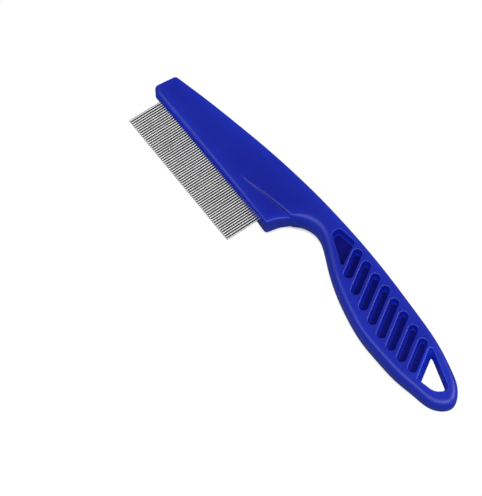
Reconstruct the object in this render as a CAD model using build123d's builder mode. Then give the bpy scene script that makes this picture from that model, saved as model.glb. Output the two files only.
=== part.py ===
from build123d import *
import math
import os

# Flea comb: one plastic moulding (head, heel, neck, slotted grip, hang hole)
# holding a single row of straight, round-tipped steel pins.
#
# The comb lies flat. +X runs along the tooth row towards the grip, the teeth
# point to -Y (the front) and +Z is one of the two broad faces. The origin is
# at the centre of the overall outline, on the plane that the comb rests on.
# Plan points are written from a datum at the tip corner of the first tooth,
# and in_frame() moves them into the part frame.

# ---- overall -------------------------------------------------------------
X_HEAD_END = -6.4  # flat free end of the head, from the datum
X_TAIL = 173.2  # grip end, from the datum
Y_BACK = 40.4  # rearmost point of the back edge, from the datum
DATUM_X = -(X_HEAD_END + X_TAIL) / 2  # datum in the part frame
DATUM_Y = -Y_BACK / 2

# ---- teeth ---------------------------------------------------------------
TOOTH_COUNT = 64
TOOTH_PITCH = 1.051
TOOTH_R = 0.37
TOOTH_SHOWING = 15.15  # free length, tip to plastic
TOOTH_BURIED = 8.0  # length held in the moulding
GROOVE_R = 0.29  # locking groove near the buried end
GROOVE_FROM = 5.2  # groove position, measured from the plastic edge
GROOVE_TO = 6.4
GROOVE_RAMP = 0.1  # length of the slope at each end of the groove
FIRST_TOOTH_X = 0.38  # first tooth axis, from the datum

# ---- moulding: half-thicknesses and their stations along x ---------------
H_HEAD_END = 2.8  # at the free end of the head
H_CREASE = 3.3  # where the heel step starts
H_HEEL = 3.9  # heel plate at its corner
H_NECK = 5.1  # thickest point, at the neck
H_TAIL = 3.45  # grip end
X_PROFILE_START = X_HEAD_END - 2  # side profiles overrun the head end
X_CREASE = 49.5
X_HEEL = 71.6
X_FLAT_0 = 79.5  # flat stretch at the neck that the comb rests on
X_FLAT_1 = 89.4
MID = H_NECK  # height of the moulding's mid-plane, also the tooth plane

# Side profiles of the broad faces: (x from the datum, half-thickness).
HEEL_PROFILE = [
    (X_PROFILE_START, H_HEAD_END),
    (X_CREASE, H_CREASE),
    (X_HEEL, H_HEEL),
    (200.0, H_HEEL),
]
HEAD_SLOPE = (H_CREASE - H_HEAD_END) / (X_CREASE - X_PROFILE_START)
SWELL = [(X_CREASE, H_CREASE), (70.0, 4.7), (X_FLAT_0, H_NECK)]
GRIP = [(X_FLAT_1, H_NECK), (120.0, 4.78), (150.0, 4.05), (X_TAIL + 2.0, H_TAIL)]
TAIL_SLOPE = 0.02  # fall of the broad faces at the grip end

# Plan outline (x, y) after the flat head end: back edge, round the grip end,
# front of the grip, neck and finger curve, down to the heel corner.
OUTLINE = [
    (X_HEAD_END, 26.5), (11.1, 30.3), (28.8, 33.65), (46.5, 36.5),
    (64.7, 38.6), (82.7, 39.95), (100.6, Y_BACK), (118.5, 39.95),
    (136.3, 38.95), (151.1, 37.55), (162.6, 34.9), (169.6, 31.7),
    (X_TAIL, 26.0), (170.0, 20.9), (161.5, 18.15), (152.0, 16.35),
    (142.0, 15.8), (131.5, 16.05), (120.0, 17.8), (109.3, 20.8),
    (99.1, 24.7), (92.6, 27.7), (86.4, 29.6), (80.4, 28.4),
    (75.9, 24.9), (73.0, 20.6), (71.7, TOOTH_SHOWING),
]
HEAD_FRONT = (X_HEAD_END, TOOTH_SHOWING)
HEAD_BACK = OUTLINE[0]
HEEL_CORNER = OUTLINE[-1]

# Plan region (x, y) in front of the crease, where the lower heel plate shows.
HEEL_REGION = [
    (-20.0, 5.0), (-20.0, 18.6), (40.0, 18.6), (X_CREASE, 20.1),
    (66.2, 24.2), (73.3, 25.3), (82.0, 26.6), (82.0, 5.0),
]

EDGE_R = 1.9  # rounding of the grip, neck and back edges
EDGE_FROM_X = 72.0  # that rounding takes edges past this x ...
EDGE_FROM_Y = 16.0  # ... or behind this y, from the datum
HEEL_EDGE_R = 1.5  # rounding of the tooth edge and heel
HEAD_CORNER_R = 2.6  # plan corners of the head
HEEL_CORNER_R = 1.55  # plan corner of the heel
FACE_EDGE_HEIGHT = 2.0  # edges of the broad faces are further from MID

# Extrusions that only have to pass right through the moulding.
BLANK_HALF = 8.0
REGION_HALF = 12.0
PROFILE_HALF = 60.0
CUT_DEPTH = 8.0

# ---- grip pockets and hang hole ------------------------------------------
WEB_HALF = 1.25  # half-thickness of the web left between the pockets
SLOT_ANGLE = 122.0
SLOT_WIDTH = 3.5
SLOT_FLOOR_LESS = 0.3  # the floor is this much shorter and narrower
SLOTS = [  # centre x, centre y, overall length
    (105.8, 31.6, 13.0),
    (112.5, 30.3, 15.0),
    (119.1, 29.4, 16.4),
    (125.6, 28.8, 17.3),
    (132.0, 28.2, 17.4),
    (138.3, 27.9, 17.1),
    (144.6, 27.8, 16.1),
    (150.8, 27.9, 14.6),
]
# Blind pocket at the neck and hang hole at the grip end: x, y, corner radius.
NECK_POCKET = [(90.6, 33.1, 1.3), (90.4, 36.6, 1.6), (98.5, 37.8, 0.6), (104.3, 27.4, 0.5)]
HANG_HOLE = [(150.3, 34.6, 0.5), (158.4, 21.9, 0.6), (165.9, 23.7, 2.6), (169.2, 28.6, 1.4)]
POCKET_DRAFT = 3.0
HOLE_DRAFT = 2.5
# Corners, height of the narrowest section from the mid-plane, draft.
POLYGON_CUTS = [
    (NECK_POCKET, WEB_HALF, POCKET_DRAFT),
    (HANG_HOLE, 0.0, HOLE_DRAFT),
]
RIM_R = 0.4
RIM_HEIGHT = 3.4  # rim edges are further than this from the mid-plane
RIM_REACH = 0.3  # and within this plan distance of the nominal rim


# ---- helpers -------------------------------------------------------------
def in_frame(x, y):
    """Move a plan point from the datum into the part frame."""
    return (x + DATUM_X, y + DATUM_Y)


def face_line(profile, side):
    """Side-view points of one broad face; side is 1 for top, -1 for bottom."""
    return [(x + DATUM_X, MID + side * h) for x, h in profile]


def face_plane(side, height):
    """Plane at a height from the mid-plane, facing out of one broad face.

    Its local y is the part's y times side.
    """
    return Plane(origin=(0, 0, MID + side * height), x_dir=(1, 0, 0), z_dir=(0, 0, side))


def corner(part, point):
    """The upright edge of a part nearest to a plan point."""
    return part.edges().filter_by(Axis.Z).sort_by_distance((*in_frame(*point), MID))[0]


def face_edges(part):
    """Edges round both broad faces, except those that lie along Y."""
    return [
        e
        for e in part.edges()
        if abs(e.center().Z - MID) > FACE_EDGE_HEIGHT and abs(e.tangent_at(0.5).Y) < 0.99999
    ]


def chain_distance(point, chain):
    """Plan distance from a point to a chain of straight segments."""
    best = math.inf
    for (ax, ay), (bx, by) in zip(chain, chain[1:]):
        dx, dy = bx - ax, by - ay
        t = ((point.X - ax) * dx + (point.Y - ay) * dy) / (dx * dx + dy * dy)
        t = min(1.0, max(0.0, t))
        best = min(best, math.hypot(point.X - ax - t * dx, point.Y - ay - t * dy))
    return best


def rim_chains():
    """Each rim as a plan chain and the rim's distance from that chain.

    A polygon's rim runs along its own sides, a slot's rim half a width
    outside its centre line.
    """
    rims = []
    for corners, _, _ in POLYGON_CUTS:
        rims.append(([in_frame(x, y) for x, y, _ in corners + corners[:1]], 0.0))
    angle = math.radians(SLOT_ANGLE)
    for x, y, length in SLOTS:
        dx = math.cos(angle) * (length - SLOT_WIDTH) / 2
        dy = math.sin(angle) * (length - SLOT_WIDTH) / 2
        rims.append(([in_frame(x - dx, y - dy), in_frame(x + dx, y + dy)], SLOT_WIDTH / 2))
    return rims


# ---- plan sketches -------------------------------------------------------
with BuildSketch(Plane.XY.offset(MID)) as outline:
    with BuildLine():
        Line(in_frame(*HEEL_CORNER), in_frame(*HEAD_FRONT))
        Line(in_frame(*HEAD_FRONT), in_frame(*HEAD_BACK))
        Spline(*[in_frame(*p) for p in OUTLINE])
    make_face()

with BuildSketch(Plane.XY.offset(MID)) as heel_region:
    with BuildLine():
        Polyline(*[in_frame(*p) for p in HEEL_REGION], close=True)
    make_face()


# ---- heel plate and tooth edge -------------------------------------------
def build_heel():
    with BuildPart() as heel:
        add(outline.sketch)
        extrude(amount=BLANK_HALF, both=True)
        fillet(corner(heel, HEAD_FRONT), HEAD_CORNER_R)
        fillet(corner(heel, HEAD_BACK), HEAD_CORNER_R)
        fillet(corner(heel, HEEL_CORNER), HEEL_CORNER_R)
        with BuildSketch(Plane.XZ.offset(PROFILE_HALF)):
            with BuildLine():
                top = face_line(HEEL_PROFILE, 1)
                bottom = face_line(HEEL_PROFILE, -1)
                Polyline(*top, *reversed(bottom), close=True)
            make_face()
        extrude(amount=-2 * PROFILE_HALF, mode=Mode.INTERSECT)
        fillet(face_edges(heel), HEEL_EDGE_R)
        add(heel_region.sketch)
        extrude(amount=REGION_HALF, both=True, mode=Mode.INTERSECT)
    return heel.part


# ---- moulding without its tooth sockets ----------------------------------
def build_moulding(heel_part):
    with BuildPart() as moulding:
        add(outline.sketch)
        extrude(amount=BLANK_HALF, both=True)
        fillet(corner(moulding, HEAD_BACK), HEAD_CORNER_R)

        # broad faces: flat head, swelling to the neck, thinner at the grip end
        with BuildSketch(Plane.XZ.offset(PROFILE_HALF)):
            with BuildLine():
                starts, ends = [], []
                for side in (1, -1):
                    start = (X_PROFILE_START + DATUM_X, MID + side * H_HEAD_END)
                    swell = face_line(SWELL, side)
                    grip = face_line(GRIP, side)
                    Line(start, swell[0])
                    Spline(*swell, tangents=[(1, side * HEAD_SLOPE), (1, 0)])
                    Line(swell[-1], grip[0])
                    Spline(*grip, tangents=[(1, 0), (1, -side * TAIL_SLOPE)])
                    starts.append(start)
                    ends.append(grip[-1])
                Line(*starts)
                Line(*ends)
            make_face()
        extrude(amount=-2 * PROFILE_HALF, mode=Mode.INTERSECT)
        fillet(
            [
                e
                for e in face_edges(moulding)
                if e.center().X > DATUM_X + EDGE_FROM_X or e.center().Y > DATUM_Y + EDGE_FROM_Y
            ],
            EDGE_R,
        )

        # swap everything in front of the crease for the lower heel plate
        add(heel_region.sketch)
        extrude(amount=REGION_HALF, both=True, mode=Mode.SUBTRACT)
        add(heel_part)

        for side in (1, -1):
            # blind slots, drafted, with a web left between the two faces
            with BuildSketch(face_plane(side, WEB_HALF)):
                for x, y, length in SLOTS:
                    px, py = in_frame(x, y)
                    with Locations((px, side * py)):
                        SlotOverall(
                            length - SLOT_FLOOR_LESS,
                            SLOT_WIDTH - SLOT_FLOOR_LESS,
                            side * SLOT_ANGLE,
                        )
            extrude(amount=CUT_DEPTH, taper=-POCKET_DRAFT, mode=Mode.SUBTRACT)

            # neck pocket, then the hang hole, narrowest at the mid-plane
            for corners, height, draft in POLYGON_CUTS:
                local = [(x + DATUM_X, side * (y + DATUM_Y)) for x, y, _ in corners]
                with BuildSketch(face_plane(side, height)) as opening:
                    with BuildLine():
                        Polyline(*local, close=True)
                    make_face()
                    for (px, py), (_, _, radius) in zip(local, corners):
                        fillet(opening.vertices().sort_by_distance((px, py, 0))[0], radius)
                extrude(amount=CUT_DEPTH, taper=-draft, mode=Mode.SUBTRACT)

        # soften the rim of each pocket and of the hang hole, one at a time
        for side in (1, -1):
            for chain, offset in rim_chains():
                fillet(
                    [
                        e
                        for e in moulding.edges()
                        if side * (e.center().Z - MID) > RIM_HEIGHT
                        and abs(chain_distance(e.center(), chain) - offset) < RIM_REACH
                    ],
                    RIM_R,
                )
    return moulding.part


# ---- teeth ---------------------------------------------------------------
def build_teeth(indices):
    """Straight round pins with domed tips.

    A shallow groove near the buried end is filled by the moulding and stops
    the pin from pulling out.
    """
    tip_y = DATUM_Y
    plastic_y = tip_y + TOOTH_SHOWING
    end_y = plastic_y + TOOTH_BURIED
    groove_y0 = plastic_y + GROOVE_FROM
    groove_y1 = plastic_y + GROOVE_TO
    with BuildPart() as teeth:
        for k in indices:
            x = DATUM_X + FIRST_TOOTH_X + k * TOOTH_PITCH
            with BuildSketch(Plane.XY.offset(MID)):
                with BuildLine():
                    dome = RadiusArc((x, tip_y), (x + TOOTH_R, tip_y + TOOTH_R), -TOOTH_R)
                    Polyline(
                        dome @ 1,
                        (x + TOOTH_R, groove_y0),
                        (x + GROOVE_R, groove_y0 + GROOVE_RAMP),
                        (x + GROOVE_R, groove_y1 - GROOVE_RAMP),
                        (x + TOOTH_R, groove_y1),
                        (x + TOOTH_R, end_y),
                        (x, end_y),
                        (x, tip_y),
                    )
                make_face()
            revolve(axis=Axis((x, 0, MID), (0, 1, 0)))
    return teeth.part


# ---- handle: the moulding closes tightly round every pin -----------------
def build_handle(moulding_part, tooth_pairs):
    with BuildPart() as sockets:
        for pair in tooth_pairs:
            add(pair)
    with BuildPart() as handle:
        add(moulding_part)
        add(sockets.part, mode=Mode.SUBTRACT)
    return handle.part


def export(part, name):
    part.label = name
    export_step(part, f"parts/{name}.step")


os.makedirs("parts", exist_ok=True)
moulding_part = build_moulding(build_heel())
tooth_pairs = []
for first in range(0, TOOTH_COUNT, 2):
    pair = build_teeth((first, first + 1))
    export(pair, f"teeth_{first + 1:02d}_{first + 2:02d}")
    tooth_pairs.append(pair)
export(build_handle(moulding_part, tooth_pairs), "handle")
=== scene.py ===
"""Flea comb: a blue moulded handle with a row of 64 steel pins, lying flat on a pale sweep.

Work coordinates are millimetres from a datum at the tip corner of the first pin: x runs
along the row towards the grip, the pin tips are at y = 0 and the body at larger y, and
z is measured from the mid-plane of the moulding. to_scene() turns them into metres.
"""

import math

import bpy
import numpy as np
from mathutils import Matrix, Vector


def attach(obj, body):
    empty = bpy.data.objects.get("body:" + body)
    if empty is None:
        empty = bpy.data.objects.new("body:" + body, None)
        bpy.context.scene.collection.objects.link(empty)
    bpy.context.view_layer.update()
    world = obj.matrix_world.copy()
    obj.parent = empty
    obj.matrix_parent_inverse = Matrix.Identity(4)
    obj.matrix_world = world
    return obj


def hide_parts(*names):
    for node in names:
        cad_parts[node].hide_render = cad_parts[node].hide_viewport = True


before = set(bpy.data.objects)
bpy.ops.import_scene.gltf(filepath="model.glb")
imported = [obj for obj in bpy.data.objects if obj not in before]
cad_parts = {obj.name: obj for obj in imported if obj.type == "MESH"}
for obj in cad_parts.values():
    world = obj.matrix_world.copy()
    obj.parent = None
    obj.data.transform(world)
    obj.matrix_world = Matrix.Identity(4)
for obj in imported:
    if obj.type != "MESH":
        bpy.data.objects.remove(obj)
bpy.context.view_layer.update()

DATUM = np.array([-83.4, -20.2, 5.1])  # the datum in scene axes, mm
MID_HEIGHT = DATUM[2] / 1000.0  # mid-plane of the moulding, m
FLOOR_DROP = 0.0001  # floor below z = 0, m


def to_scene(points):
    return (np.asarray(points, float) + DATUM) / 1000.0


def smooth(t):
    t = np.clip(t, 0.0, 1.0)
    return t * t * (3.0 - 2.0 * t)


def ease(x, start, span):
    """Smooth rise from 0 at start to 1 at start + span; span may be negative."""
    return smooth((x - start) / span)


def along(x, table):
    """Linear reading of a two-column table."""
    return np.interp(x, table[:, 0], table[:, 1])


# ---- plan shapes, mm --------------------------------------------------------
# x, y of the free outline, from the head end over the long side and round the grip
OUTLINE = [
    (-5.4, 26.85), (11.1, 30.55), (28.8, 33.95), (46.5, 36.9), (64.7, 38.8),
    (82.7, 40.0), (100.6, 40.5), (118.5, 40.15), (136.3, 39.15), (151.1, 37.75),
    (162.8, 35.1), (170.0, 32.1), (174.15, 26.0), (170.3, 20.45), (161.6, 17.95),
    (152.0, 16.25), (142.0, 15.75), (131.5, 15.85), (120.0, 17.7), (109.25, 20.65),
    (99.1, 24.6), (92.6, 27.65), (86.4, 29.4), (80.5, 28.15), (76.05, 24.75),
    (73.2, 20.35), (71.8, 14.9),
]
OUTLINE_STEP = 0.25
ROOT_Y = 15.15  # plastic edge that the pins leave
HEAD_END = [(61.0, ROOT_Y), (-3.0, ROOT_Y), (-6.45, 17.3)]  # pin edge, clipped corner
HEAD_END_R = [0.0, 1.2, 1.2]
SPINE_START_R, SPINE_END_R = 1.8, 1.6  # plan corners at the two ends of the outline

SLOT_ANGLE = math.radians(122.0)
SLOT_HALF_WIDTH = 1.6
SLOT_ENDS = 3.5  # taken off a slot's length to give its straight core
SLOTS = [  # centre x, centre y, length
    (105.8, 31.6, 13.0), (112.5, 30.3, 15.0), (119.1, 29.4, 16.4), (125.6, 28.8, 17.3),
    (132.0, 28.2, 17.4), (138.3, 27.9, 17.1), (144.6, 27.8, 16.1), (150.8, 27.9, 14.6),
]
# corners x, y and their radii
NECK_POCKET = [(90.6, 33.1), (90.4, 36.6), (98.5, 37.8), (104.3, 27.4)]
NECK_POCKET_R = [1.3, 1.6, 0.6, 0.5]
NECK_POCKET_INSET = 0.05
HANG_HOLE = [(150.3, 34.6), (158.4, 21.9), (165.9, 23.7), (169.2, 28.6)]
HANG_HOLE_R = [0.7, 0.6, 5.0, 2.1]
# the hole narrows from both faces to a smaller opening at mid thickness
HANG_WAIST = [(153.0, 33.2), (159.3, 23.0), (165.4, 24.2), (168.0, 28.3)]
HANG_WAIST_R = [0.45, 0.7, 4.2, 1.9]


def cubic_spline(points, step):
    """Natural cubic spline through points, chord-length parameter."""
    p = np.asarray(points, float)
    knots = np.r_[0, np.cumsum(np.linalg.norm(np.diff(p, axis=0), axis=1))]
    n = len(knots)
    h = np.diff(knots)
    system = np.zeros((n, n))
    target = np.zeros((n, 2))
    system[0, 0] = system[-1, -1] = 1.0
    for i in range(1, n - 1):
        system[i, i - 1 : i + 2] = h[i - 1], 2 * (h[i - 1] + h[i]), h[i]
        target[i] = 6 * ((p[i + 1] - p[i]) / h[i] - (p[i] - p[i - 1]) / h[i - 1])
    bend = np.linalg.solve(system, target)
    s = np.linspace(0, knots[-1], int(knots[-1] / step) + 1)
    k = np.clip(np.searchsorted(knots, s) - 1, 0, n - 2)
    u, v, hk = (knots[k + 1] - s)[:, None], (s - knots[k])[:, None], h[k][:, None]
    return (
        bend[k] * u**3 / (6 * hk)
        + bend[k + 1] * v**3 / (6 * hk)
        + (p[k] / hk - bend[k] * hk / 6) * u
        + (p[k + 1] / hk - bend[k + 1] * hk / 6) * v
    )


def rounded(points, radii, step=0.12):
    """Closed polygon with each corner replaced by an arc."""
    points = [np.asarray(p, float) for p in points]
    ring = []
    for i, (corner, radius) in enumerate(zip(points, radii)):
        if radius <= 0:
            ring.append(corner)
            continue
        back, ahead = points[i - 1] - corner, points[(i + 1) % len(points)] - corner
        back, ahead = back / np.linalg.norm(back), ahead / np.linalg.norm(ahead)
        half = math.acos(np.clip(back @ ahead, -1, 1)) / 2
        middle = (back + ahead) / np.linalg.norm(back + ahead)
        centre = corner + middle * radius / math.sin(half)
        start = corner + back * radius / math.tan(half)
        end = corner + ahead * radius / math.tan(half)
        angle = math.atan2(*(start - centre)[::-1])
        end_angle = math.atan2(*(end - centre)[::-1])
        turn = (end_angle - angle + math.pi) % (2 * math.pi) - math.pi
        n = max(3, int(abs(turn) * radius / step) + 1)
        for k in range(n + 1):
            w = angle + turn * k / n
            ring.append(centre + radius * np.array([math.cos(w), math.sin(w)]))
    return np.array(ring)


def outline_ring():
    spine = cubic_spline(OUTLINE, OUTLINE_STEP)
    # points next to both ends are left out so that the corner arcs have room
    kept = spine[9:-7]
    ring = np.vstack([spine[:1], kept, spine[-1:], HEAD_END])
    radii = np.r_[SPINE_START_R, np.zeros(len(kept)), SPINE_END_R, HEAD_END_R]
    return rounded(ring, radii)


# ---- signed plan distances on a fine grid, negative inside ------------------
GRID = 0.2
GRID_X = np.arange(-9.0, 177.6, GRID)
GRID_Y = np.arange(12.6, 43.4, GRID)


def ring_field(ring):
    """Signed distance to a closed ring."""
    start = np.asarray(ring, float)
    end = np.roll(start, -1, axis=0)
    keep = np.linalg.norm(end - start, axis=1) > 1e-6
    start, end = start[keep], end[keep]
    gx, gy = np.meshgrid(GRID_X, GRID_Y, indexing="ij")
    px, py = gx.ravel().astype(np.float32), gy.ravel().astype(np.float32)
    nearest = np.full(px.shape, 1e9, np.float32)
    winding = np.zeros(px.shape, np.int32)
    for (ax, ay), (bx, by) in zip(start, end):
        dx, dy = bx - ax, by - ay
        t = np.clip(((px - ax) * dx + (py - ay) * dy) / (dx * dx + dy * dy), 0, 1)
        nearest = np.minimum(nearest, (px - ax - t * dx) ** 2 + (py - ay - t * dy) ** 2)
        up = (ay <= py) & (by > py)
        down = (ay > py) & (by <= py)
        side = dx * (py - ay) - dy * (px - ax)
        winding += (up & (side > 0)).astype(np.int32)
        winding -= (down & (side < 0)).astype(np.int32)
    distance = np.sqrt(nearest)
    distance[winding != 0] *= -1
    return distance.reshape(len(GRID_X), len(GRID_Y))


def slot_field():
    """Signed distance to the row of slanted slots."""
    gx, gy = np.meshgrid(GRID_X, GRID_Y, indexing="ij")
    nearest = np.full(gx.shape, 1e9)
    ux, uy = math.cos(SLOT_ANGLE), math.sin(SLOT_ANGLE)
    for x, y, length in SLOTS:
        half = (length - SLOT_ENDS) / 2
        t = np.clip((gx - x) * ux + (gy - y) * uy, -half, half)
        distance = np.hypot(gx - x - t * ux, gy - y - t * uy) - SLOT_HALF_WIDTH
        nearest = np.minimum(nearest, distance)
    return nearest


FIELD_OUTLINE = ring_field(outline_ring())
FIELD_POCKET = np.minimum(
    slot_field(), ring_field(rounded(NECK_POCKET, NECK_POCKET_R)) + NECK_POCKET_INSET
)
FIELD_HOLE = ring_field(rounded(HANG_HOLE, HANG_HOLE_R))
FIELD_WAIST = ring_field(rounded(HANG_WAIST, HANG_WAIST_R))
FIELDS = (FIELD_OUTLINE, FIELD_POCKET, FIELD_HOLE, FIELD_WAIST)


def look_up(field, x, y):
    """Bicubic (Catmull-Rom) value of a plan field at any points."""
    fx = np.clip((x - GRID_X[0]) / GRID, 1.001, len(GRID_X) - 3.001)
    fy = np.clip((y - GRID_Y[0]) / GRID, 1.001, len(GRID_Y) - 3.001)
    ix, iy = fx.astype(int), fy.astype(int)

    def weights(t):
        return (
            ((-0.5 * t + 1.0) * t - 0.5) * t,
            (1.5 * t - 2.5) * t * t + 1.0,
            ((-1.5 * t + 2.0) * t + 0.5) * t,
            (0.5 * t - 0.5) * t * t,
        )

    weights_x, weights_y = weights(fx - ix), weights(fy - iy)
    total = 0.0
    for i in range(4):
        row = 0.0
        for j in range(4):
            row = row + weights_y[j] * field[ix + i - 1, iy + j - 1]
        total = total + weights_x[i] * row
    return total


# ---- thickness and edge rounding along the comb, mm -------------------------
BODY = np.array([  # x, half-thickness, slope
    (-9.0, 2.79, 0.0086), (46.0, 3.24, 0.014), (50.5, 3.44, 0.066),
    (70.0, 4.82, 0.06), (79.5, 5.1, 0.0), (89.4, 5.1, 0.0),
    (120.0, 4.78, -0.0185), (150.0, 4.05, -0.026), (176.0, 3.42, -0.02),
])
# x, half-thickness of the lower heel plate beside the pins
HEEL = np.array([(-9, 2.79), (46.0, 3.2), (52.0, 3.26), (72.0, 3.75), (200, 3.8)])
HEEL_RISE = 0.95  # extra height of the plate at its corner
# x, y of the line where the rounded crest of the body reaches its full height
CREST = np.array([
    (-20, 17.0), (44, 19.6), (49.5, 21.05), (53, 21.8), (56, 22.55), (60, 23.5),
    (64, 24.25), (68, 24.95), (71, 25.4), (74, 25.9), (80, 27.0), (90, 29.0),
])
CREST_R = 1.35
CREST_ARC = 0.85  # part of the radius that is rounded before the straight fall
CREST_FALL = 1.6  # slope of that fall
# x, y of the line that parts the front (small y) and back (large y) edges
CENTRE = np.array([
    (-7, 21), (30, 24.5), (60, 27), (72, 30), (86, 34.7), (100, 32.5), (120, 29),
    (140, 27.4), (160, 26.5), (174, 26),
])
# x, edge radius
FRONT_R = np.array([
    (-7, 2.3), (20, 2.3), (50, 1.9), (62, 1.4), (70, 0.95), (74.3, 0.85), (76.0, 2.3),
    (78.5, 3.3), (84, 3.5), (90, 3.2), (100, 2.8), (110, 2.4), (135, 2.4), (150, 2.8),
    (165, 3.0), (174, 2.8),
])
BACK_R = np.array([
    (-7, 1.2), (20, 1.25), (50, 1.4), (70, 1.7), (86, 1.9), (120, 1.8), (150, 2.0),
    (165, 2.4), (174, 2.6),
])
END_R = 1.2  # edge radius at the head end

DRAFT = math.tan(math.radians(3.0))
FACE_FALL, FACE_REACH = 0.3, 7.5  # broad faces fall this much, over this distance inwards
WEB_HALF = 1.25  # half-thickness of the web between opposite pockets
POCKET_DRAFT = 0.0524
POCKET_FLOOR_R, POCKET_RIM_R, HOLE_RIM_R = 0.9, 0.5, 0.7
HOLE_TAPER = 3.4  # height above mid-plane where the hole reaches full size


def hermite(x, knots):
    i = np.clip(np.searchsorted(knots[:, 0], x) - 1, 0, len(knots) - 2)
    h = knots[i + 1, 0] - knots[i, 0]
    t = np.clip((x - knots[i, 0]) / h, 0, 1)
    return (
        (2 * t**3 - 3 * t**2 + 1) * knots[i, 1]
        + (t**3 - 2 * t**2 + t) * h * knots[i, 2]
        + (-2 * t**3 + 3 * t**2) * knots[i + 1, 1]
        + (t**3 - t**2) * h * knots[i + 1, 2]
    )


def section_at(x, y):
    """Half-thickness and edge radius at plan points."""
    body = hermite(x, BODY)
    # the heel plate lies lower than the body and climbs towards its grip-side corner
    heel = along(x, HEEL)
    heel = heel + HEEL_RISE * ease(x, 58.0, 13.0) * (1.0 - ease(y, 16.5, 9.5))
    # the body rolls over in a rounded crest and meets the plate abruptly;
    # 0.98 allows for the slant of the crest line, and the fall fades out at x = 82
    past_crest = (y - along(x, CREST)) * 0.98
    past_crest = np.maximum(past_crest, -12.0 * ease(x, 82.0, -3.0))
    rolled = np.clip(-past_crest, 0.0, CREST_ARC * CREST_R)
    drop = CREST_R - np.sqrt(CREST_R**2 - rolled**2)
    drop = drop + CREST_FALL * np.maximum(-past_crest - CREST_ARC * CREST_R, 0.0)
    height = np.maximum(heel, body - drop)
    # the edge radius blends from front to back over 4 mm, then into the head end
    back = smooth((y - along(x, CENTRE)) / 4.0 + 0.5)
    radius = along(x, FRONT_R) * (1 - back)
    radius = radius + along(x, BACK_R) * back
    end = ease(x, -2.6, -2.0) * ease(y, 16.6, 2.0)
    radius = radius * (1 - end) + END_R * end
    return height, radius


def round_and(a, b, radius):
    """Intersection of two distance fields with a rounded edge."""
    return (
        np.minimum(np.maximum(a + radius, b + radius), 0.0)
        + np.hypot(np.maximum(a + radius, 0.0), np.maximum(b + radius, 0.0))
        - radius
    )


def solid(outline, pocket, hole, waist, height, radius, z):
    """Signed field of the moulding from its plan fields."""
    rise = np.abs(z)
    height = height - FACE_FALL * np.clip(1.0 + outline / FACE_REACH, 0.0, 1.2) ** 2
    body = round_and(outline + rise * DRAFT, rise - height, radius)
    walls = pocket - (rise - WEB_HALF) * POCKET_DRAFT
    body = round_and(body, -round_and(walls, WEB_HALF - rise, POCKET_FLOOR_R), POCKET_RIM_R)
    bore = waist + (hole - waist) * np.minimum(rise / HOLE_TAPER, 1.0)
    return round_and(body, -bore, HOLE_RIM_R)


def solid_at(points):
    x, y, z = points[:, 0], points[:, 1], points[:, 2]
    return solid(*[look_up(field, x, y) for field in FIELDS], *section_at(x, y), z)


def gradient_at(points, reach=0.06):
    gradient = np.empty_like(points)
    for k in range(3):
        offset = np.zeros(3)
        offset[k] = reach
        difference = solid_at(points + offset) - solid_at(points - offset)
        gradient[:, k] = difference / (2 * reach)
    return gradient


# ---- polygonise -------------------------------------------------------------
def surface_nets(field, axes):
    """Naive surface nets: one vertex per crossed cell, one quad per crossed edge."""
    inside = field < 0
    corners = [(i, j, k) for i in (0, 1) for j in (0, 1) for k in (0, 1)]
    nx, ny, nz = field.shape
    count = np.zeros((nx - 1, ny - 1, nz - 1), np.uint8)
    for i, j, k in corners:
        count += inside[i : nx - 1 + i, j : ny - 1 + j, k : nz - 1 + k]
    active = (count > 0) & (count < 8)
    cells = np.argwhere(active)
    number = np.full(active.shape, -1, np.int32)
    number[active] = np.arange(len(cells))
    values = np.stack(
        [field[cells[:, 0] + i, cells[:, 1] + j, cells[:, 2] + k] for i, j, k in corners], 1
    )
    place = np.zeros((len(cells), 3))
    hits = np.zeros(len(cells))
    for a in range(8):
        for b in range(a + 1, 8):
            corner_a, corner_b = np.array(corners[a]), np.array(corners[b])
            if np.abs(corner_a - corner_b).sum() != 1:
                continue
            fa, fb = values[:, a], values[:, b]
            cross = (fa < 0) != (fb < 0)
            t = np.where(cross, fa / np.where(cross, fa - fb, 1.0), 0.0)
            crossing = corner_a + t[:, None] * (corner_b - corner_a)
            place += np.where(cross[:, None], crossing, 0.0)
            hits += cross
    place = place / hits[:, None] + cells
    verts = np.stack(
        [line[0] + place[:, k] * (line[1] - line[0]) for k, line in enumerate(axes)], 1
    )
    quads = []
    for axis in range(3):
        low = [slice(None)] * 3
        high = [slice(None)] * 3
        low[axis], high[axis] = slice(0, -1), slice(1, None)
        a, b = inside[tuple(low)], inside[tuple(high)]
        u, v = [(1, 2), (2, 0), (0, 1)][axis]
        for outward, mask in ((True, a & ~b), (False, ~a & b)):
            edges = np.argwhere(mask)
            within = (
                (edges[:, u] > 0)
                & (edges[:, v] > 0)
                & (edges[:, u] < field.shape[u] - 1)
                & (edges[:, v] < field.shape[v] - 1)
            )
            edges = edges[within]
            around = []
            for du, dv in ((-1, -1), (0, -1), (0, 0), (-1, 0)):
                cell = edges.copy()
                cell[:, u] += du
                cell[:, v] += dv
                around.append(number[cell[:, 0], cell[:, 1], cell[:, 2]])
            faces = np.stack(around, 1)
            quads.append(faces if outward else faces[:, ::-1])
    return verts, np.vstack(quads)


def settle(verts, rounds):
    """Move points along the gradient onto the surface."""
    for _ in range(rounds):
        g = gradient_at(verts)
        value = solid_at(verts)
        verts = verts - np.clip(value / ((g * g).sum(1) + 1e-6), -0.2, 0.2)[:, None] * g
    return verts


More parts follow.
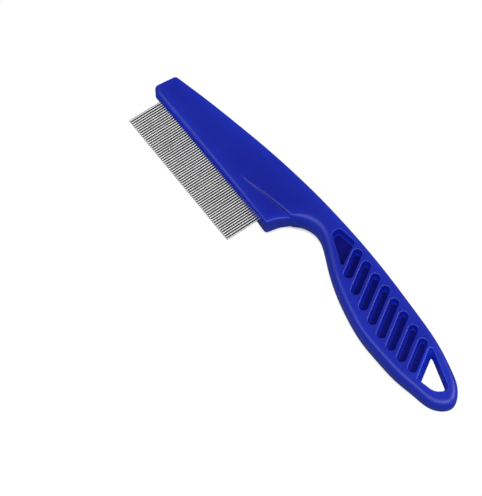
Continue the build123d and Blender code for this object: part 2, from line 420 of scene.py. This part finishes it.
def relax(verts, quads, rounds=3):
    """Even out the net along the surface, keeping every point on it."""
    n = len(verts)
    a = quads.ravel()
    b = np.roll(quads, -1, axis=1).ravel()
    for _ in range(rounds):
        total = np.zeros_like(verts)
        for k in range(3):
            total[:, k] = np.bincount(a, verts[b, k], n) + np.bincount(b, verts[a, k], n)
        weight = np.bincount(a, minlength=n) + np.bincount(b, minlength=n)
        mean = total / weight[:, None]
        g = gradient_at(verts)
        g /= np.linalg.norm(g, axis=1)[:, None] + 1e-9
        move = mean - verts
        move -= (move * g).sum(1)[:, None] * g
        verts = settle(verts + 0.6 * move, 1)
    return verts


# ---- handle -----------------------------------------------------------------
NET_STEP = 0.37
NET_DEPTH = 12.0  # height of the sampled block, centred on the mid-plane


def handle_net():
    layers = int(NET_DEPTH / NET_STEP)
    xs = np.arange(-7.3, 175.4, NET_STEP)
    ys = np.arange(14.2, 41.6, NET_STEP)
    zs = (np.arange(layers + 1) - layers / 2) * NET_STEP
    gx, gy = np.meshgrid(xs, ys, indexing="ij")
    x, y = gx.ravel(), gy.ravel()
    plan = [look_up(field, x, y) for field in FIELDS] + list(section_at(x, y))
    plan = [values.reshape(gx.shape)[:, :, None] for values in plan]
    verts, quads = surface_nets(solid(*plan, zs[None, None, :]), (xs, ys, zs))
    verts = relax(settle(verts, 2), quads)
    return settle(verts, 1), quads


def quad_mesh(name, verts, quads):
    mesh = bpy.data.meshes.new(name)
    mesh.vertices.add(len(verts))
    mesh.vertices.foreach_set("co", np.asarray(verts, np.float32).ravel())
    mesh.loops.add(quads.size)
    mesh.loops.foreach_set("vertex_index", quads.astype(np.int32).ravel())
    mesh.polygons.add(len(quads))
    mesh.polygons.foreach_set("loop_start", np.arange(0, quads.size, 4, dtype=np.int32))
    mesh.update(calc_edges=True)
    mesh.validate()
    mesh.polygons.foreach_set("use_smooth", np.full(len(quads), True))
    return mesh


def add_object(name, data):
    ob = bpy.data.objects.new(name, data)
    bpy.context.scene.collection.objects.link(ob)
    return ob


def add_attribute(mesh, name, values):
    attribute = mesh.attributes.new(name, "FLOAT", "POINT")
    attribute.data.foreach_set("value", values.astype(np.float32))


def build_handle():
    verts, quads = handle_net()
    normals = gradient_at(verts, reach=0.09)
    normals /= np.linalg.norm(normals, axis=1)[:, None]
    mesh = quad_mesh("comb_handle", to_scene(verts), quads)
    mesh.normals_split_custom_set_from_vertices(normals.astype(np.float32).tolist())
    x, y, rise = verts[:, 0], verts[:, 1], np.abs(verts[:, 2])
    # how deep inside a pocket each point lies, for the pocket floors, which are textured and get
    # a painted shade
    into_pocket = -look_up(FIELD_POCKET, x, y)
    floor = ease(into_pocket, -0.1, 0.8) * ease(rise, 2.7, -1.2)
    add_attribute(mesh, "pocket_floor", floor)
    # upper walls of the pockets, where a painted light stands in for light that comes through the
    # fins
    face = section_at(x, y)[0]
    wall = ease(into_pocket, -0.2, 0.4) * smooth((face - 0.1 - rise) / 0.3)
    add_attribute(mesh, "pocket_wall", wall * (1.0 - floor))
    # painted light: a mask for a brighter blue near the outline and the hang hole, standing in
    # for light that comes through the thin sections; the effect dies away over 3 mm and 2.5 mm
    edge_light = np.maximum(
        np.exp(np.minimum(look_up(FIELD_OUTLINE, x, y), 0.0) / 3.0),
        np.exp(-np.maximum(look_up(FIELD_HOLE, x, y), 0.0) / 2.5),
    )
    add_attribute(mesh, "painted_edge_light", edge_light)
    ob = add_object("comb_handle", mesh)
    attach(ob, "root")
    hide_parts("handle")
    return ob


# ---- pins, mm ---------------------------------------------------------------
PAIRS = 32
PITCH = 1.051
FIRST_X = 0.38
PIN_R = 0.37
GROOVE_R = 0.29
DOME_LENGTH, DOME_RINGS = 0.52, 7
PIN_END = 23.15  # buried end
SIDES = 16
SWAY = 0.0016  # spread of the slope by which a free pin leans or lifts
SHORTFALL = 0.03  # spread of the missing length at the tip


def pin_profile():
    """y, radius along a pin: domed, drawn-out tip, long parallel shank, groove."""
    rows = []
    for k in range(1, DOME_RINGS + 1):
        a = math.radians(90 * k / DOME_RINGS)
        rows.append((DOME_LENGTH * (1 - math.cos(a)), PIN_R * math.sin(a)))
    rows += [(y, PIN_R) for y in (1.2, 3.0, 6.0, 9.0, 12.0, 14.6, 15.4, 17.0, 20.2)]
    rows += [(20.35, GROOVE_R), (21.45, GROOVE_R), (21.6, PIN_R), (PIN_END, PIN_R)]
    return rows


def add_pin(verts, faces, x0, rows, rng):
    """Append one slightly irregular pin to the vertex and face lists."""
    tip = len(verts)
    lean = rng.normal(0, SWAY)
    lift = rng.normal(0, SWAY)
    short = abs(rng.normal(0, SHORTFALL))
    spin = rng.uniform(0, math.pi / SIDES)
    verts.append((x0 + lean * ROOT_Y, short, lift * ROOT_Y))
    for row_y, r in rows:
        y = row_y + short * max(0.0, 1 - row_y / ROOT_Y)
        free = max(0.0, ROOT_Y - y)
        for s in range(SIDES):
            w = 2 * math.pi * s / SIDES + spin
            verts.append((x0 + lean * free + r * math.cos(w), y, lift * free + r * math.sin(w)))
    verts.append((x0, PIN_END, 0.0))
    end = len(verts) - 1
    last_ring = end - SIDES
    for s in range(SIDES):
        t = (s + 1) % SIDES
        faces.append([tip, tip + 1 + s, tip + 1 + t])
        faces.append([end, last_ring + t, last_ring + s])
    for m in range(len(rows) - 1):
        ring = tip + 1 + m * SIDES
        for s in range(SIDES):
            t = (s + 1) % SIDES
            faces.append([ring + s, ring + SIDES + s, ring + SIDES + t, ring + t])


def build_pins():
    """One object for each pair of neighbouring pins."""
    rng = np.random.default_rng(64)
    rows = pin_profile()
    pins = []
    for pair in range(PAIRS):
        verts, faces = [], []
        for k in (2 * pair, 2 * pair + 1):
            add_pin(verts, faces, FIRST_X + k * PITCH, rows, rng)
        numbers = f"{2 * pair + 1:02d}_{2 * pair + 2:02d}"
        mesh = bpy.data.meshes.new(f"pins_{numbers}")
        mesh.from_pydata([tuple(v) for v in to_scene(verts)], [], faces)
        mesh.update()
        mesh.polygons.foreach_set("use_smooth", np.full(len(mesh.polygons), True))
        ob = add_object(f"pins_{numbers}", mesh)
        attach(ob, "root")
        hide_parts(f"teeth_{numbers}")
        pins.append(ob)
    return pins


# ---- materials (scene metres, linear colours) -------------------------------
class Shader:
    """A node material; wherever a helper takes a value it also takes a socket."""

    def __init__(self, name):
        self.mat = bpy.data.materials.new(name)
        self.mat.use_nodes = True
        self.nodes = self.mat.node_tree.nodes
        self.bsdf = self.nodes["Principled BSDF"]
        self.position = self.nodes.new("ShaderNodeTexCoord").outputs["Object"]

    def feed(self, node, inputs):
        for key, value in inputs.items():
            socket = node.inputs[key]
            if isinstance(value, bpy.types.NodeSocket):
                self.mat.node_tree.links.new(value, socket)
            elif socket.type == "RGBA":
                socket.default_value = (*value, 1.0)
            else:
                socket.default_value = value

    def node(self, kind, inputs=None, **properties):
        node = self.nodes.new(kind)
        for key, value in properties.items():
            setattr(node, key, value)
        self.feed(node, inputs or {})
        return node

    def attribute(self, name):
        return self.node("ShaderNodeAttribute", attribute_name=name).outputs["Fac"]

    def split(self, vector):
        return self.node("ShaderNodeSeparateXYZ", {0: vector}).outputs

    def noise(self, scale, detail=3.0, roughness=0.5, stretch=(1, 1, 1), shift=0.0):
        source = self.position
        if shift or stretch != (1, 1, 1):
            location = (shift, shift * 0.7, shift * 0.3)
            inputs = {"Scale": stretch, "Location": location, "Vector": source}
            source = self.node("ShaderNodeMapping", inputs).outputs[0]
        inputs = {"Scale": scale, "Detail": detail, "Roughness": roughness, "Vector": source}
        return self.node("ShaderNodeTexNoise", inputs).outputs["Fac"]

    def ramp(self, value, span, to=(0.0, 1.0), curve="LINEAR"):
        """Map the range span of a value to the range to."""
        inputs = {
            "From Min": span[0], "From Max": span[1],
            "To Min": to[0], "To Max": to[1], "Value": value,
        }
        return self.node("ShaderNodeMapRange", inputs, interpolation_type=curve).outputs[0]

    def math(self, operation, *values, clamp=False):
        inputs = dict(enumerate(values))
        node = self.node("ShaderNodeMath", inputs, operation=operation, use_clamp=clamp)
        return node.outputs[0]

    def times(self, a, b, clamp=False):
        return self.math("MULTIPLY", a, b, clamp=clamp)

    def mix(self, factor, first, second, blend="MIX"):
        inputs = {0: factor, 6: first, 7: second}
        node = self.node("ShaderNodeMix", inputs, data_type="RGBA", blend_type=blend)
        return node.outputs[2]

    def bump(self, height, strength, distance, **normal):
        inputs = {"Strength": strength, "Distance": distance, "Height": height}
        if normal:
            inputs["Normal"] = normal["normal"]
        return self.node("ShaderNodeBump", inputs).outputs["Normal"]


def blue_plastic():
    m = Shader("ultramarine_moulded_plastic")
    broad = m.noise(scale=38, detail=2.0)
    fine = m.noise(scale=420, detail=4.0, roughness=0.6)
    edge = m.attribute("painted_edge_light")
    # clouded deep blue, and a brighter copy of it near the outline and the hang hole: painted
    # light standing in for light that comes through the thin sections
    clouds = (0.35, 0.65)
    deep = m.mix(m.ramp(broad, span=clouds), (0.0016, 0.0078, 0.30), (0.003, 0.012, 0.34))
    lit = m.mix(m.ramp(broad, span=clouds), (0.003, 0.021, 0.48), (0.006, 0.027, 0.54))
    base = m.mix(edge, deep, lit)
    # sharp convex edges get a slightly paler blue and a little more roughness, in random patches
    geometry = m.node("ShaderNodeNewGeometry")
    convex_edge_patches = m.ramp(geometry.outputs["Pointiness"], span=(0.505, 0.56))
    patches = m.ramp(m.noise(scale=900, detail=5.0, roughness=0.7), span=(0.42, 0.62))
    convex_edge_patches = m.times(convex_edge_patches, patches, clamp=True)
    convex_edge_blue = (0.02, 0.04, 0.5)
    base = m.mix(m.times(convex_edge_patches, 0.35), base, convex_edge_blue)
    # painted light: a brighter, saturated blue on the upper pocket walls, standing in for light
    # that comes through the fins
    painted_wall_light = m.attribute("pocket_wall")
    wall_light_blue = (0.004, 0.03, 0.85)
    base = m.mix(m.times(painted_wall_light, 0.85), base, wall_light_blue)
    # pocket floors: a painted shade makes them darker, and pale grains give them texture
    floor = m.attribute("pocket_floor")
    grain = m.ramp(m.noise(scale=1500, detail=2.0, roughness=0.6, shift=3.0), span=(0.66, 0.74))
    shaded_floor_blue, grain_blue = (0.0012, 0.0018, 0.16), (0.07, 0.08, 0.5)
    shaded_pit = m.mix(m.times(grain, 0.5), shaded_floor_blue, grain_blue)
    base = m.mix(m.times(floor, 0.9), base, shaded_pit)
    # a few pale specks: one in five cells of the pattern has one
    cells = m.node(
        "ShaderNodeTexVoronoi",
        {"Scale": 150, "Randomness": 1.0, "Vector": m.position},
        feature="F1",
    )
    speck = m.ramp(cells.outputs["Distance"], span=(0.025, 0.045), to=(1.0, 0.0))
    pick = m.node("ShaderNodeSeparateColor", {0: cells.outputs["Color"]}).outputs[0]
    speck = m.times(speck, m.math("GREATER_THAN", pick, 0.8))
    speck_blue = (0.08, 0.12, 0.6)
    base = m.mix(m.times(speck, 0.22), base, speck_blue)
    # painted light: the upper pocket walls near the fin crests are faintly lit by an emission
    # standing in for light that comes through the thin fins
    rise = m.math("ABSOLUTE", m.math("SUBTRACT", m.split(m.position)[2], MID_HEIGHT))
    painted_glow = m.times(painted_wall_light, m.ramp(rise, span=(0.0016, 0.0034)))
    painted_glow = m.times(painted_glow, 0.24)
    # roughness: fine mottling, plus the convex edge patches and the pocket floors
    mottle = m.ramp(fine, span=(0.3, 0.7), to=(0.29, 0.37))
    rough = m.math("ADD", mottle, m.times(convex_edge_patches, 0.1))
    rough = m.math("ADD", rough, m.times(floor, 0.18))
    # pockets reflect less than the polished faces
    in_pocket = m.math("ADD", floor, painted_wall_light)
    specular = m.ramp(in_pocket, span=(0.0, 1.0), to=(0.5, 0.14))
    # relief: soft ripple, fine skin, coarse grit on the pocket floors
    skin = m.bump(m.noise(scale=260), strength=0.25, distance=0.00006)
    skin = m.bump(m.noise(scale=2600), strength=0.12, distance=0.00001, normal=skin)
    grit = m.times(floor, m.noise(scale=1700, roughness=0.65))
    skin = m.bump(grit, strength=0.8, distance=0.00006, normal=skin)
    m.feed(m.bsdf, {
        "Base Color": base,
        "Emission Color": (0.012, 0.04, 0.62),
        "Emission Strength": painted_glow,
        "Roughness": rough,
        "IOR": 1.49,
        "Specular IOR Level": specular,
        "Normal": skin,
    })
    return m.mat


def pin_steel():
    m = Shader("drawn_stainless_pin")
    # streaks drawn out along the pins
    streak = m.noise(scale=900, roughness=0.6, stretch=(1.0, 0.05, 1.0))
    streaks = (0.3, 0.7)
    tone = m.mix(m.ramp(streak, span=streaks), (0.76, 0.76, 0.78), (0.88, 0.88, 0.89))
    stain = m.ramp(m.noise(scale=130), span=(0.55, 0.75))
    stain_grey, flank_shade_grey = (0.45, 0.43, 0.42), (0.035, 0.034, 0.034)
    tone = m.mix(m.times(stain, 0.25), tone, stain_grey)
    # painted shade: the base colour darkens towards the flanks of each pin as seen from the
    # camera, leaving the crest of the wire bright
    facing = m.node("ShaderNodeLayerWeight", {"Blend": 0.5}).outputs["Facing"]
    flank_shade = m.ramp(facing, span=(0.14, 0.5), curve="SMOOTHSTEP")
    m.feed(m.bsdf, {
        "Base Color": m.mix(flank_shade, tone, flank_shade_grey),
        "Metallic": 1.0,
        "Roughness": m.ramp(streak, span=streaks, to=(0.26, 0.36)),
        "Normal": m.bump(streak, strength=0.2, distance=0.000008),
    })
    return m.mat


def pale_floor():
    """Pale sweep: the camera sees it evenly lit with a soft contact shade, and it
    returns little light, so that the sides of the comb keep their depth."""
    m = Shader("pale_sweep")
    m.feed(m.bsdf, {
        "Base Color": (0.22, 0.22, 0.23),
        "Roughness": 0.9,
        "Specular IOR Level": 0.05,
    })
    # painted contact shade: ambient occlusion darkens the sweep's emission close to the comb
    occlusion = m.node("ShaderNodeAmbientOcclusion", {"Distance": 0.0022}, samples=8)
    contact = m.ramp(
        occlusion.outputs["AO"], span=(0.3, 0.6), to=(0.45, 1.0), curve="SMOOTHSTEP"
    )
    # painted shadow: the sweep's emission is dark wherever it is seen through the pins,
    # from any side, standing in for the shade beneath the close row of pins
    geometry = m.node("ShaderNodeNewGeometry")
    ray = m.split(geometry.outputs["Incoming"])
    place = m.split(m.position)
    # follow the view ray up to the mid-plane; grazing rays are held to a slope of 0.05
    reach = m.math("DIVIDE", MID_HEIGHT + FLOOR_DROP, m.math("MAXIMUM", ray[2], 0.05))
    row_x = m.math("ADD", place[0], m.times(ray[0], reach))
    row_y = m.math("ADD", place[1], m.times(ray[1], reach))
    within_x = m.times(
        m.ramp(row_x, span=(-0.0835, -0.0831)), m.ramp(row_x, span=(-0.0166, -0.0170))
    )
    within_y = m.times(
        m.ramp(row_y, span=(-0.0204, -0.0196)), m.ramp(row_y, span=(-0.0040, -0.0046))
    )
    pin_shadow_mask = m.times(within_x, within_y)
    shade = m.times(contact, m.math("SUBTRACT", 1.0, pin_shadow_mask))
    # the painted shadow keeps a little light towards the tips of the pins and is darkest towards
    # their roots
    root = m.ramp(row_y, span=(-0.0195, -0.008), to=(0.08, 0.012))
    shade = m.math("MAXIMUM", shade, m.times(pin_shadow_mask, root))
    black, white, off_white = (0.0, 0.0, 0.0), (1.0, 1.0, 1.0), (0.985, 0.985, 0.99)
    tone = m.mix(shade, black, white)
    faint = m.mix(m.noise(scale=14), white, off_white)
    tone = m.mix(1.0, tone, faint, blend="MULTIPLY")
    painted_glow = m.node("ShaderNodeEmission", {"Strength": 1.02, "Color": tone})
    camera_ray = m.node("ShaderNodeLightPath").outputs["Is Camera Ray"]
    top = m.node("ShaderNodeMixShader", {0: camera_ray, 1: m.bsdf.outputs[0], 2: painted_glow.outputs[0]})
    # open from below, so that the underside can be looked at
    clear = m.node("ShaderNodeBsdfTransparent")
    sides = {0: geometry.outputs["Backfacing"], 1: top.outputs[0], 2: clear.outputs[0]}
    surface = m.node("ShaderNodeMixShader", sides)
    m.feed(m.nodes["Material Output"], {"Surface": surface.outputs[0]})
    return m.mat


# ---- stage (metres) ---------------------------------------------------------
FLOOR_R, FLOOR_SIDES = 1.6, 48
LIGHT_DISTANCE = 1.1
BEAMS = [  # name, direction from the comb, half angle in degrees, radiance
    ("back", (0.32, 0.77, 0.54), 18.0, 3.0),
    ("back_high", (0.27, 0.47, 0.84), 16.0, 1.0),
    ("right", (0.54, 0.0, 0.84), 18.0, 2.7),
    ("far_right", (0.77, 0.32, 0.54), 16.0, 0.7),
    ("front_right", (0.27, -0.47, 0.84), 18.0, 2.0),
    ("front_left", (-0.27, -0.47, 0.84), 18.0, 1.7),
    ("left", (-0.77, -0.32, 0.54), 20.0, 0.6),
]
WORLD_STRENGTH = 0.2
CAMERA_PLACE = (0.32366, -0.26119, 0.77589)
CAMERA_FORWARD = (-0.3820, 0.2782, -0.8813)
CAMERA_RIGHT = (0.5886, 0.8084, 0.0)
CAMERA_LENS, CAMERA_SENSOR = 163.8, 36.0  # mm


def build_floor():
    mesh = bpy.data.meshes.new("floor")
    disc = [(0, 0, 0)]
    for k in range(FLOOR_SIDES):
        w = 2 * math.pi * k / FLOOR_SIDES
        disc.append((FLOOR_R * math.cos(w), FLOOR_R * math.sin(w), 0))
    faces = [(0, 1 + k, 1 + (k + 1) % FLOOR_SIDES) for k in range(FLOOR_SIDES)]
    mesh.from_pydata(disc, [], faces)
    ob = add_object("floor", mesh)
    ob.location = (0, 0, -FLOOR_DROP)
    ob.data.materials.append(pale_floor())


def add_beam(name, direction, half_angle, radiance):
    """Round softbox aimed at the origin, with a given radiance."""
    place = Vector(direction).normalized() * LIGHT_DISTANCE
    radius = LIGHT_DISTANCE * math.tan(math.radians(half_angle))
    light = bpy.data.lights.new(name, "AREA")
    light.shape = "DISK"
    light.size = 2 * radius
    light.energy = radiance * math.pi * math.pi * radius * radius
    ob = add_object(name, light)
    ob.location = place
    ob.rotation_euler = (Vector((0, 0, 0)) - place).to_track_quat("-Z", "Y").to_euler()


def build_world():
    world = bpy.data.worlds.new("studio")
    bpy.context.scene.world = world
    world.use_nodes = True
    background = world.node_tree.nodes["Background"]
    background.inputs["Color"].default_value = (1, 1, 1, 1)
    background.inputs["Strength"].default_value = WORLD_STRENGTH


def build_camera():
    camera = bpy.data.cameras.new("camera")
    ob = add_object("camera", camera)
    forward = Vector(CAMERA_FORWARD).normalized()
    right = Vector(CAMERA_RIGHT).normalized()
    turn = Matrix((right, right.cross(forward), -forward)).transposed()
    ob.matrix_world = Matrix.Translation(CAMERA_PLACE) @ turn.to_4x4()
    camera.sensor_width = CAMERA_SENSOR
    camera.lens = CAMERA_LENS
    camera.clip_start = 0.05
    bpy.context.scene.camera = ob


# ---- build ------------------------------------------------------------------
handle = build_handle()
pins = build_pins()
plastic = blue_plastic()
steel = pin_steel()
handle.data.materials.append(plastic)
for pin in pins:
    pin.data.materials.append(steel)
for name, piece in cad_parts.items():
    piece.data.materials.clear()
    piece.data.materials.append(plastic if name == "handle" else steel)

build_floor()
for beam in BEAMS:
    add_beam(*beam)
build_world()
build_camera()
bpy.context.scene.view_settings.view_transform = "Standard"
